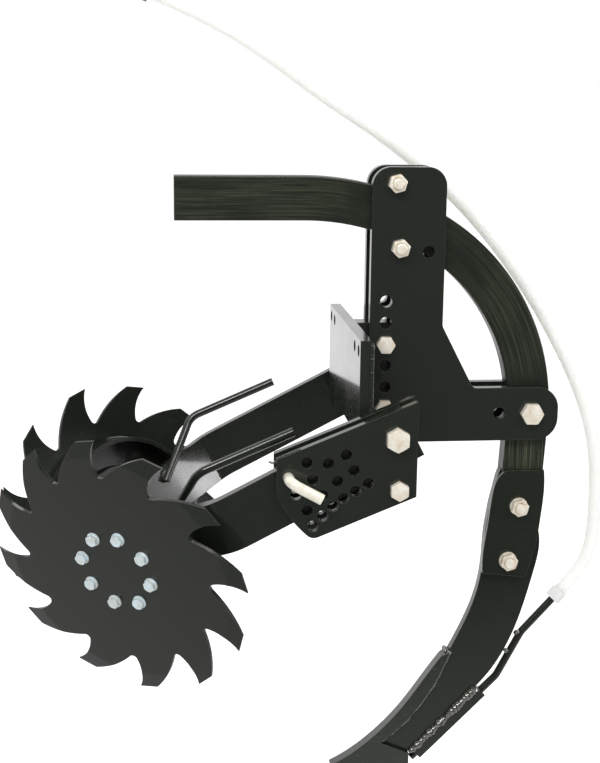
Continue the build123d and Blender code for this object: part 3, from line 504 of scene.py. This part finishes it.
def milky_plastic(name, colour, glow, rough, painted_glow):
    """Natural polyethylene: milky, a little uneven, translucent, with a faint painted glow that makes it
    paler.
    """
    material, tree, shader = new_material(name)
    uneven = noise(tree, object_coords(tree), 35.0, 4.0, 0.6)
    feed(tree, shader["Base Color"], blend(tree, uneven, tint(colour), tint(colour, 0.93)))
    feed(tree, shader["Roughness"], remap(tree, uneven, 0.0, 1.0, rough, rough + 0.12))
    shader["Subsurface Weight"].default_value = glow
    shader["Subsurface Radius"].default_value = (1.0, 1.0, 0.85)
    shader["Subsurface Scale"].default_value = 0.03
    # Painted glow: emission in the plastic's own colour lightens it, though it is no lamp.
    shader["Emission Color"].default_value = tint(colour)
    shader["Emission Strength"].default_value = painted_glow
    return material


def dress(names, material):
    for name in names:
        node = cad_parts[name]
        node.data.materials.clear()
        node.data.materials.append(material)


# Mesh making, in millimetres

def turned_frame(at, way, level):
    """Matrix with its z axis along way and its x axis along level."""
    z_axis = Vector(way).normalized()
    x_axis = (Vector(level) - z_axis * z_axis.dot(Vector(level))).normalized()
    turn = Matrix((x_axis, z_axis.cross(x_axis), z_axis)).transposed().to_4x4()
    return Matrix.Translation(Vector(at)) @ turn


def side_frame(centre, y, way):
    """Frame on a face square to Y, facing way (-1 near, 1 far)."""
    return turned_frame((centre[0], y, centre[1]), (0, way, 0), (1, 0, 0))


def stack(work, place, rings, segments=48, close_ends=True):
    """Skin a stack of rings: each is a (radius, height) pair, or a function of the angle."""
    loops = []
    for ring in rings:
        loop = []
        for i in range(segments):
            angle = math.tau * i / segments
            radius, height = ring(angle) if callable(ring) else ring
            loop.append(work.verts.new(place @ on_circle(radius, angle, height)))
        loops.append(loop)
    skin_loops(work, loops, close_ends)


def hex_radius(flats, turn, angle):
    around = (math.degrees(angle) - turn) % 60.0 - 30.0
    return flats / 2 / math.cos(math.radians(around))


def hex_stack(flats, turn, high, flange=None, chamfer_foot=False, dish=0.0):
    """Rings of a hexagon with turned chamfers, from its foot to high."""
    face = flats / 2 * FACE_SHARE

    def drop(angle):
        return max(0.0, hex_radius(flats, turn, angle) - face) * CHAMFER_SLOPE

    if chamfer_foot:
        rings = [(face, 0.0), lambda angle: (hex_radius(flats, turn, angle), drop(angle))]
    else:
        if flange:
            radius, foot = flange
            rings = [(radius * 0.985, 0.0), (radius, foot * 0.35), (radius * 0.97, foot)]
        else:
            foot = 0.5
            rings = [(flats * 0.47, 0.0), (flats * 0.47, foot)]
        rings.append(lambda angle: (hex_radius(flats, turn, angle), foot))
    rings.append(lambda angle: (hex_radius(flats, turn, angle), high - drop(angle)))
    rings.append((face, high))
    if dish:
        rings += [(face * 0.80, high), (face * 0.66, high - dish), (face * 0.1, high - dish * 0.8)]
    return rings


def nut_stack(flats, turn, height, bore, flange=None):
    """Rings of a nut: up its outside and back down its bore."""
    rings = hex_stack(flats, turn, height, flange, chamfer_foot=flange is None)
    mouth = bore + BORE_CHAMFER
    rings += [(mouth, height), (bore, height - BORE_CHAMFER), (bore, BORE_CHAMFER), (mouth, 0.0)]
    return rings + rings[:1]


def thread_stack(diameter, low, high):
    """Rings of a threaded end, with a chamfered tip at high."""
    outer, inner = diameter / 2, diameter / 2 - THREAD_DEPTH * THREAD_PITCH
    turns = max(1, int((high - low) / THREAD_PITCH))
    step = (high - low) / turns
    rings = [(outer * 0.9, low)]
    for k in range(turns):
        start = low + step * k
        rings += [(inner, start + step * 0.15), (outer, start + step * 0.5), (outer, start + step * 0.62)]
    return rings + [(inner, high - 0.1 * THREAD_PITCH), (inner * 0.93, high)]


def grade_marks(work, place, flats, high, turn):
    """Three short raised lines on a head, as on any medium strength bolt."""
    half, start, end = 0.35, flats * 0.17, flats * 0.36
    corners = [(-half, start), (half, start), (half, end), (-half, end)]
    for k in range(3):
        spin = place @ Matrix.Rotation(math.radians(turn + 120 * k), 4, "Z")
        low = [work.verts.new(spin @ Vector((x, y, high - 0.1))) for x, y in corners]
        top = [work.verts.new(spin @ Vector((x * 0.6, y, high + 0.22))) for x, y in corners]
        work.faces.new(top)
        work.faces.new(list(reversed(low)))
        for a in range(4):
            b = (a + 1) % 4
            work.faces.new((low[a], low[b], top[b], top[a]))


def skin_loops(work, loops, close_ends=True):
    """Faces between loops of vertices that follow each other."""
    for low, high in zip(loops, loops[1:]):
        for i in range(len(low)):
            j = (i + 1) % len(low)
            work.faces.new((low[i], low[j], high[j], high[i]))
    if close_ends:
        work.faces.new(list(reversed(loops[0])))
        work.faces.new(loops[-1])


def bead(work, points, radius_at):
    """Skin along points, its radius given at each, its rings bowed forward."""
    loops = []
    side = (points[1] - points[0]).normalized().orthogonal().normalized()
    for i, point in enumerate(points):
        ahead = (points[min(i + 1, len(points) - 1)] - points[max(i - 1, 0)]).normalized()
        side = (side - ahead * ahead.dot(side)).normalized()
        other = ahead.cross(side)
        radius = radius_at(i)
        loop = []
        for k in range(BEAD_SIDES):
            angle = math.tau * k / BEAD_SIDES
            out = side * math.cos(angle) + other * math.sin(angle)
            loop.append(work.verts.new(point + (out + ahead * BEAD_BOW * math.cos(angle)) * radius))
        loops.append(loop)
    skin_loops(work, loops)


def spaced(points, step):
    """Points a step apart along straight runs between the given points."""
    result = []
    for a, b in zip(points, points[1:]):
        count = max(1, int((b - a).length / step))
        result += [a.lerp(b, i / count) for i in range(count)]
    return result + [points[-1]]


def weld(work, route, radius, seed, ripple=2.2, lumps=0.10):
    """Weld bead: overlapping ripples along a route, a little uneven."""
    chance = random.Random(seed)
    route = spaced([Vector(point) for point in route], radius * BEAD_STEP)
    wander = [chance.uniform(-1, 1) for _ in range(len(route) // 6 + 3)]

    def slow(i):
        place = i / 6
        k = int(place)
        return wander[k] + (wander[k + 1] - wander[k]) * (place - k)

    def radius_at(i):
        ends = min(1.0, 0.45 + 0.2 * i, 0.45 + 0.2 * (len(route) - 1 - i))
        wave = abs(math.sin(math.pi * i * radius * BEAD_STEP / ripple))
        return radius * ends * (0.86 + 0.16 * wave + lumps * slow(i))

    bead(work, route, radius_at)


def mesh_piece(name, work, material, body, replaced=(), side="near"):
    """Object of a mesh, turned across the centre when it belongs to the far side."""
    if side == "far":
        bmesh.ops.scale(work, vec=(1, -1, 1), verts=work.verts)
    bmesh.ops.remove_doubles(work, verts=work.verts, dist=0.0005)
    bmesh.ops.recalc_face_normals(work, faces=work.faces)
    bmesh.ops.scale(work, vec=(MM, MM, MM), verts=work.verts)
    mesh = bpy.data.meshes.new(name)
    work.to_mesh(mesh)
    work.free()
    mesh.shade_smooth()
    mesh.set_sharp_from_angle(angle=math.radians(32))
    mesh.materials.append(material)
    piece = bpy.data.objects.new(name, mesh)
    bpy.context.scene.collection.objects.link(piece)
    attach(piece, body)
    if replaced:
        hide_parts(*replaced)


def nut_height(size):
    return size[0] * NUT_RATIO


def bolt_across(work, centre, head_y, tip_y, size, turn=0.0):
    """Bolt along Y: head on head_y, plain shank, threaded end at tip_y."""
    diameter, flats, head = size
    way = -1.0 if tip_y > head_y else 1.0
    outside, inside = side_frame(centre, head_y, way), side_frame(centre, head_y, -way)
    stack(work, outside, hex_stack(flats, turn, head))
    grade_marks(work, outside, flats, head, turn + 30)
    reach = abs(tip_y - head_y)
    plain = reach - nut_height(size) - STUD_END - THREAD_SPARE
    stack(work, inside, [(diameter / 2, 0.0), (diameter / 2, plain)], 32)
    stack(work, inside, thread_stack(diameter, plain, reach), 32)


def nut_on(work, centre, face_y, size, way, turn=0.0, flange=None):
    """Nut along Y, open in the middle, on face_y, on the side that way points to."""
    rings = nut_stack(size[1], turn, nut_height(size), size[0] / 2 + NUT_FIT, flange)
    stack(work, side_frame(centre, face_y, way), rings, close_ends=False)


def on_circle(radius, angle, height=0.0):
    return Vector((radius * math.cos(angle), radius * math.sin(angle), height))


def wheel_frame(out, way=OUTWARD):
    return turned_frame(WHEEL_CENTRE + OUTWARD * out, way, LEVEL)


# Operators

class ROWCLEANER_OT_stage(bpy.types.Operator):
    """Camera at the photograph's angle, floor, backdrop and lamps"""
    bl_idname = "rowcleaner.stage"
    bl_label = "Stage and camera"

    def execute(self, context):
        scene = context.scene
        settings = scene.rowcleaner_stage
        self.camera(scene)
        self.floor(scene, settings.floor_height)
        self.world(scene)
        for name, shape, size, place, target, setting, share in LAMPS:
            data = bpy.data.lights.new(name, "AREA")
            data.shape = shape
            data.size, data.size_y = size
            data.energy = getattr(settings, setting) * share
            lamp = bpy.data.objects.new(name, data)
            lamp.location = place
            lamp.rotation_euler = (Vector(target) - Vector(place)).to_track_quat("-Z", "Y").to_euler()
            scene.collection.objects.link(lamp)
        scene.view_settings.view_transform = "Standard"
        return {"FINISHED"}

    def camera(self, scene):
        ahead = Vector((math.sin(YAW) * math.cos(PITCH), math.cos(YAW) * math.cos(PITCH), -math.sin(PITCH)))
        right = Vector((math.cos(YAW), -math.sin(YAW), 0))
        up = right.cross(ahead)
        rolled_right = right * math.cos(ROLL) + up * math.sin(ROLL)
        rolled_up = up * math.cos(ROLL) - right * math.sin(ROLL)
        data = bpy.data.cameras.new("view_camera")
        data.sensor_fit = "VERTICAL"
        data.sensor_height = SENSOR_MM
        data.lens = FOCAL_PX / PHOTO_PX * SENSOR_MM
        camera = bpy.data.objects.new("view_camera", data)
        scene.collection.objects.link(camera)
        turn = Matrix((rolled_right, rolled_up, -ahead)).transposed().to_4x4()
        camera.matrix_world = Matrix.Translation(Vector(CAMERA_AT)) @ turn
        scene.camera = camera

    def floor(self, scene, height):
        mesh = bpy.data.meshes.new("floor")
        work = bmesh.new()
        bmesh.ops.create_grid(work, x_segments=1, y_segments=1, size=FLOOR_SIZE)
        work.to_mesh(mesh)
        work.free()
        mesh.materials.append(self.floor_material())
        floor = bpy.data.objects.new("floor", mesh)
        floor.location = (FLOOR_X, 0.0, height)
        scene.collection.objects.link(floor)

    def floor_material(self):
        material = bpy.data.materials.new("studio_floor")
        tree = bare_tree(material)
        seen, mirrored = self.rays(tree)
        matte = add(tree, "ShaderNodeBsdfDiffuse", Color=(0.86, 0.86, 0.86, 1.0)).outputs[0]
        glow = add(tree, "ShaderNodeEmission", Strength=0.62).outputs[0]
        lit = numbered(tree, "ShaderNodeAddShader", matte, glow)[0]
        shown = numbered(tree, "ShaderNodeMixShader", seen, matte, lit)[0]
        position = add(tree, "ShaderNodeNewGeometry").outputs["Position"]
        strength = self.depth_ramp(tree, position, FLOOR_DIM)
        reflection = add(tree, "ShaderNodeEmission", Strength=strength).outputs[0]
        final = numbered(tree, "ShaderNodeMixShader", mirrored, shown, reflection)[0]
        add(tree, "ShaderNodeOutputMaterial", Surface=final)
        return material

    def rays(self, tree):
        """Whether a ray shows a thing directly, and whether it's a reflection's."""
        paths = add(tree, "ShaderNodeLightPath").outputs
        seen = math_node(tree, "ADD", paths["Is Camera Ray"], paths["Is Transmission Ray"])
        return seen, paths["Is Glossy Ray"]

    def depth_ramp(self, tree, vector, limits):
        """Strength that reflections see: dim in front of the part, bright behind it."""
        split = add(tree, "ShaderNodeSeparateXYZ", Vector=vector)
        return remap(tree, split.outputs["Y"], *limits)

    def world(self, scene):
        scene.world = bpy.data.worlds.new("studio")
        tree = bare_tree(scene.world)
        seen, mirrored = self.rays(tree)
        white = add(tree, "ShaderNodeBackground", Color=WHITE, Strength=1.0).outputs[0]
        soft = add(tree, "ShaderNodeBackground", Color=WHITE, Strength=0.55).outputs[0]
        around = add(tree, "ShaderNodeTexCoord").outputs["Generated"]
        strength = self.depth_ramp(tree, around, ROOM_DIM)
        room = add(tree, "ShaderNodeBackground", Strength=strength).outputs[0]
        unseen = numbered(tree, "ShaderNodeMixShader", mirrored, soft, room)[0]
        final = numbered(tree, "ShaderNodeMixShader", seen, unseen, white)[0]
        add(tree, "ShaderNodeOutputWorld", Surface=final)


class ROWCLEANER_OT_hose(bpy.types.Operator):
    """Milky fluid hose from the ferrule up behind the mast"""
    bl_idname = "rowcleaner.hose"
    bl_label = "Fluid hose"

    def execute(self, context):
        settings = context.scene.rowcleaner_hose
        curve = bpy.data.curves.new("fluid_hose", "CURVE")
        curve.dimensions = "3D"
        spline = curve.splines.new("NURBS")
        spline.points.add(len(HOSE_POINTS) - 1)
        for point, place in zip(spline.points, HOSE_POINTS):
            point.co = (*(Vector(place) * MM), 1.0)
        spline.order_u = 3
        spline.use_endpoint_u = True
        spline.resolution_u = 16
        curve.bevel_depth = settings.diameter / 2
        curve.bevel_resolution = 8
        curve.use_fill_caps = True
        hose = bpy.data.objects.new("fluid_hose", curve)
        context.scene.collection.objects.link(hose)
        curve.materials.append(milky_plastic("hose_milk", settings.milk, glow=1.0, rough=0.25, painted_glow=0.10))
        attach(hose, "frame")
        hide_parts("hose")
        dress(["hose_ferrule"], milky_plastic("ferrule_milk", FERRULE_MILK, glow=0.6, rough=0.42, painted_glow=0.08))
        dress(["hose_fitting"], gloss_paint("fitting_black", FITTING_BLACK, (0.35, 0.5), 0.2))
        return {"FINISHED"}


class ROWCLEANER_OT_paint(bpy.types.Operator):
    """Black paints and platings on the solids"""
    bl_idname = "rowcleaner.paint"
    bl_label = "Paint and plating"

    def execute(self, context):
        finish = context.scene.rowcleaner_finish
        edge, peel = finish.edge_radius, finish.peel
        dress(FRAME_NODES, gloss_paint("frame_gloss_black", finish.frame_black, (0.16, 0.28), peel,
                                       edge=edge))
        dress(["shank"], gloss_paint("shank_black", finish.shank_black, (0.26, 0.42), peel, 300.0, edge,
                                     drawn=finish.shank_lines, coat=0.0))
        # Knife parts and point: stronger painted edge highlights, and on the point a painted speckled glint.
        dress(KNIFE_NODES, gloss_paint("knife_black", finish.shank_black, (0.16, 0.34), peel * 2, 300.0,
                                       edge, painted_edge_highlight=11.0, coat=0.4))
        dress(["knife_point"], gloss_paint("point_black", finish.shank_black, (0.14, 0.40), peel * 4, 260.0,
                                           edge, painted_edge_highlight=14.0, coat=0.9, marks_and_glint_light=7.0))
        dress(["mounting_plate"], gloss_paint("plate_black", finish.frame_black, (0.20, 0.30), peel, 300.0,
                                              edge, coat=1.0, marks_and_glint_light=2.4))
        dress(WHEEL_NODES, gloss_paint("wheel_gloss_black", finish.wheel_black, (0.17, 0.30), peel,
                                       edge=edge, coat=0.1))
        dress(ZINC_NODES, yellowed_zinc(finish))
        dress(("wheel_bolts_near", "wheel_bolts_far"), blue_zinc())
        dress(("setting_pin_near", "setting_pin_far"),
              plated_steel("cream_zinc", CREAM_ZINC, CREAM_TARNISH, 0.26, metal=0.1))
        dress(("hairpin_near", "hairpin_far"),
              plated_steel("hairpin_wire", WIRE, WIRE_TARNISH, 0.3, metal=0.4))
        dress(STEEL_NODES, plated_steel("turned_steel", STEEL, STEEL_TARNISH, 0.3))
        return {"FINISHED"}


class ROWCLEANER_OT_fasteners(bpy.types.Operator):
    """Bolts and nuts with turned chamfers, threads and grade marks"""
    bl_idname = "rowcleaner.fasteners"
    bl_label = "Fasteners"

    def execute(self, context):
        zinc = yellowed_zinc(context.scene.rowcleaner_finish)
        self.mast(zinc)
        self.knife(zinc)
        for side in SIDES:
            self.pivot(side, zinc)
            self.spindle(side, zinc)
            self.ring(side)
        return {"FINISHED"}

    def turned(self, node, work, material, body="frame", slot="zinc", side="near"):
        """The piece that stands for a node's solids."""
        mesh_piece(f"{node}_turned", work, material, body, [node], side)

    def mast(self, zinc):
        half_reach = MAST_OUT + nut_height(HALF_BOLT) + STUD_END
        tail_reach = MAST_OUT + nut_height(PIVOT_BOLT) + STUD_END
        bolts, nuts = bmesh.new(), bmesh.new()
        for centre in COLUMN_BOLTS:
            bolt_across(bolts, centre, -MAST_OUT, half_reach, HALF_BOLT)
            nut_on(nuts, centre, MAST_OUT, HALF_BOLT, 1.0)
        bolt_across(bolts, TAIL_BOLT, -MAST_OUT, tail_reach, PIVOT_BOLT)
        nut_on(nuts, TAIL_BOLT, MAST_OUT, PIVOT_BOLT, 1.0)
        for centre in CLAMP_BOLTS:
            bolt_across(bolts, centre, MAST_OUT, -half_reach, HALF_BOLT)
            nut_on(nuts, centre, -MAST_OUT, HALF_BOLT, -1.0, NUT_TURN)
        self.turned("mast_bolts", bolts, zinc)
        self.turned("mast_nuts", nuts, zinc)

    def knife(self, zinc):
        reach = CHEEK_OUT + nut_height(HALF_BOLT) + STUD_END
        bolts, nuts = bmesh.new(), bmesh.new()
        for centre in KNIFE_BOLTS:
            bolt_across(bolts, centre, CHEEK_OUT, -reach, HALF_BOLT)
            nut_on(nuts, centre, -CHEEK_OUT, HALF_BOLT, -1.0, NUT_TURN, KNIFE_FLANGE)
        self.turned("knife_bolts", bolts, zinc)
        self.turned("knife_nuts", nuts, zinc)

    def pivot(self, side, zinc):
        nuts = bmesh.new()
        for name, centre, size in (("pivot_bolt", PIVOT_AT, PIVOT_BOLT),
                                   ("spacer_bolt", SPACER_AT[side], HALF_BOLT)):
            tip = nut_height(size) + STUD_END - PLATE_INNER
            bolt = bmesh.new()
            bolt_across(bolt, centre, -PLATE_OUTER, tip, size, HEAD_TURN)
            self.turned(f"{name}_{side}", bolt, zinc, side=side)
            nut_on(nuts, centre, -PLATE_INNER, size, 1.0)
        self.turned(f"pivot_nuts_{side}", nuts, zinc, side=side)

    def spindle(self, side, zinc):
        flats, height, bore = SPINDLE_NUT
        work = bmesh.new()
        stack(work, wheel_frame(-ARM_FACE - ARM_T, -OUTWARD), nut_stack(flats, 0.0, height, bore),
              close_ends=False)
        self.turned(f"spindle_nut_{side}", work, zinc, f"arm_{side}", side=side)

    def ring(self, side):
        diameter, flats, head = RING_BOLT
        radius, depth = diameter / 2, WHEEL_T + HUB_T
        through = [(radius, 0.0), (radius, 0.2 - depth), (radius - 0.4, -depth - 1.2),
                   (radius - 1.0, -depth - 2.0)]
        work = bmesh.new()
        for k in range(RING_BOLTS):
            angle = math.radians(BOLT_RING_A + 360 / RING_BOLTS * k + PHASES[side])
            place = wheel_frame(0.0) @ Matrix.Translation(on_circle(BOLT_RING_R, angle, WHEEL_T / 2))
            turn = math.degrees(angle) * 3 + 11 * k
            stack(work, place, hex_stack(flats, turn, RING_FLANGE[1] + head, RING_FLANGE, dish=RING_DISH))
            stack(work, place, through, 24)
        self.turned(f"wheel_bolts_{side}", work, blue_zinc(), f"wheel_{side}", "wheel_zinc", side)


class ROWCLEANER_OT_welds(bpy.types.Operator):
    """Weld beads where the plates, rods, bands and tube are joined"""
    bl_idname = "rowcleaner.welds"
    bl_label = "Welds"

    def execute(self, context):
        finish = context.scene.rowcleaner_finish
        black = gloss_paint("weld_gloss_black", finish.frame_black, (0.16, 0.30), finish.peel * 2, 260.0,
                            finish.edge_radius * 0.5)
        # Bare weld metal with a painted sparkle and painted edge highlights.
        burnt = gloss_paint("weld_scaled", WELD_SCALE, (0.12, 0.30), finish.peel * 4, 340.0,
                            finish.edge_radius, painted_edge_highlight=2.5, marks_and_glint_light=3.0, metal=0.85)
        self.mount(black)
        self.knife(burnt)
        for side in SIDES:
            self.rod(side, black)
            self.wheel(side, black)
        return {"FINISHED"}

    def mount(self, black):
        work = bmesh.new()
        low, high = PLATE_FOOT + 3, PLATE_TOP - 3
        for sign in (-1, 1):
            for x, y, radius, seed in ((PLATE_REAR + 0.6, BLOCK_HALF, 2.6, 3),
                                       (PLATE_REAR + 0.4, PLATE_INNER - 0.3, 2.8, 7)):
                weld(work, [(x, sign * y, high), (x, sign * y, low)], radius, seed + sign)
        mesh_piece("mount_welds", work, black, "frame")

    def knife(self, burnt):
        work = bmesh.new()
        for sign in (-1, 1):
            y = sign * (BLADE_HALF + 1.4)
            seat = [(SEAT_TOP[0] + 1.0, y, SEAT_TOP[1] - 1.0), (HEEL[0] + 2.5, y, HEEL[1] - 0.5)]
            weld(work, seat, radius=4.4, seed=21 + sign, ripple=5.5, lumps=0.34)
            inner = [(x + 1.2, sign * (BLADE_HALF + 0.8), z - 0.3) for x, z in INNER_EDGE]
            weld(work, inner, radius=3.4, seed=31 + sign, ripple=3.4, lumps=0.22)
        x, z = INNER_EDGE[0][0] - 4.0, INNER_EDGE[0][1] - 0.5
        weld(work, [(x, -7.0, z), (x, 7.0, z)], radius=2.6, seed=41, lumps=0.2)
        for k, tack in enumerate(TUBE_TACKS):
            route = [Vector(tack) + TACK_WAY * along for along in (0.5, 5.0, 10.0)]
            weld(work, route, radius=4.4, seed=51 + k, lumps=0.3)
        mesh_piece("knife_welds", work, burnt, "frame")

    def rod(self, side, black):
        foot, top = (KNEE + FRONT * along + ACROSS * up for along, up in (ROD_FOOT, ROD_KNEE))
        way = (top - foot).normalized()
        square = OUTWARD.cross(way)
        work = bmesh.new()
        for k, offset in enumerate((-1, 1)):
            beside = foot + square * offset * (ROD_D / 2 - 0.8) - OUTWARD * (ARM_T / 2 + 0.8)
            route = [beside + way * 1.5, beside + way * 19.0]
            weld(work, route, radius=2.6, seed=61 + k, lumps=0.16)
        mesh_piece(f"rod_welds_{side}", work, black, f"arm_{side}", side=side)

    def wheel(self, side, black):
        work = bmesh.new()
        front = wheel_frame(-WHEEL_T / 2 - 0.6)
        for k in range(BAND_WELDS):
            arc = [math.radians(360 / BAND_WELDS * k + 6 + 2.8 * i) for i in range(11)]
            route = [front @ on_circle(BAND_R + 0.6, a) for a in arc]
            weld(work, route, radius=2.3, seed=71 + k, lumps=0.14)
        rear = wheel_frame(-WHEEL_T / 2 - HUB_T - 0.5)
        around = [math.tau * i / 48 for i in range(49)]
        weld(work, [rear @ on_circle(BARREL_R + 0.5, a) for a in around], radius=2.4, seed=81)
        mesh_piece(f"wheel_welds_{side}", work, black, f"wheel_{side}", side=side)


class ROWCLEANER_PT_panel(bpy.types.Panel):
    """Every step that dresses the row cleaner"""
    bl_label = "Row cleaner"
    bl_idname = "ROWCLEANER_PT_panel"
    bl_space_type = "VIEW_3D"
    bl_region_type = "UI"
    bl_category = "Row cleaner"

    def draw(self, context):
        for operator in OPERATORS:
            self.layout.operator(operator.bl_idname)
        for holder in ("rowcleaner_finish", "rowcleaner_hose", "rowcleaner_stage"):
            group = getattr(context.scene, holder)
            box = self.layout.box()
            for key in group.bl_rna.properties.keys():
                if key not in ("rna_type", "name"):
                    box.prop(group, key)


OPERATORS = (
    ROWCLEANER_OT_stage, ROWCLEANER_OT_paint, ROWCLEANER_OT_hose, ROWCLEANER_OT_fasteners,
    ROWCLEANER_OT_welds,
)
GROUPS = (
    ("rowcleaner_finish", RowCleanerFinish),
    ("rowcleaner_hose", RowCleanerHose),
    ("rowcleaner_stage", RowCleanerStage),
)


def register():
    for holder, group in GROUPS:
        bpy.utils.register_class(group)
        setattr(bpy.types.Scene, holder, bpy.props.PointerProperty(type=group))
    for operator in OPERATORS:
        bpy.utils.register_class(operator)
    bpy.utils.register_class(ROWCLEANER_PT_panel)


def unregister():
    bpy.utils.unregister_class(ROWCLEANER_PT_panel)
    for operator in reversed(OPERATORS):
        bpy.utils.unregister_class(operator)
    for holder, group in reversed(GROUPS):
        delattr(bpy.types.Scene, holder)
        bpy.utils.unregister_class(group)


def main():
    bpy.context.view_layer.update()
    register()
    bpy.ops.rowcleaner.stage()
    bpy.ops.rowcleaner.paint()
    bpy.ops.rowcleaner.hose()
    bpy.ops.rowcleaner.fasteners()
    bpy.ops.rowcleaner.welds()


if __name__ == "__main__":
    main()
